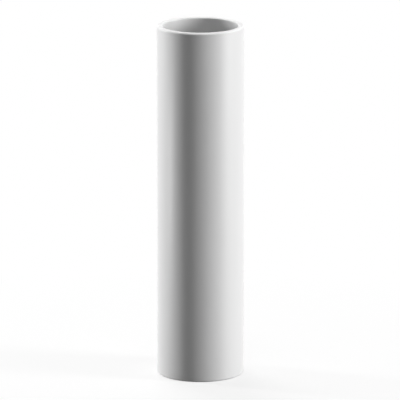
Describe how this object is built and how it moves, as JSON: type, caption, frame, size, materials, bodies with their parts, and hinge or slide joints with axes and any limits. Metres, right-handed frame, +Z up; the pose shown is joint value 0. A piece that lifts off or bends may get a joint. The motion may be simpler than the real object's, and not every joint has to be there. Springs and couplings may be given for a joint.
{
  "type": "rigid pvc conduit",
  "caption": "Short straight length of round rigid PVC conduit, open right through, sawn square and deburred at both ends.",
  "frame": {"origin": "centre of the lower end, in the plane of the floor it stands on", "axes": "+Z up the tube's axis, from the lower end to the upper end; X and Y lie across the tube and are alike, because it is round"},
  "size_m": [0.0604, 0.0604, 0.2476],
  "materials": {
    "pvc": "satin"
  },
  "bodies": {
    "root": {"conduit_tube": "pvc"}
  },
  "joints": []
}
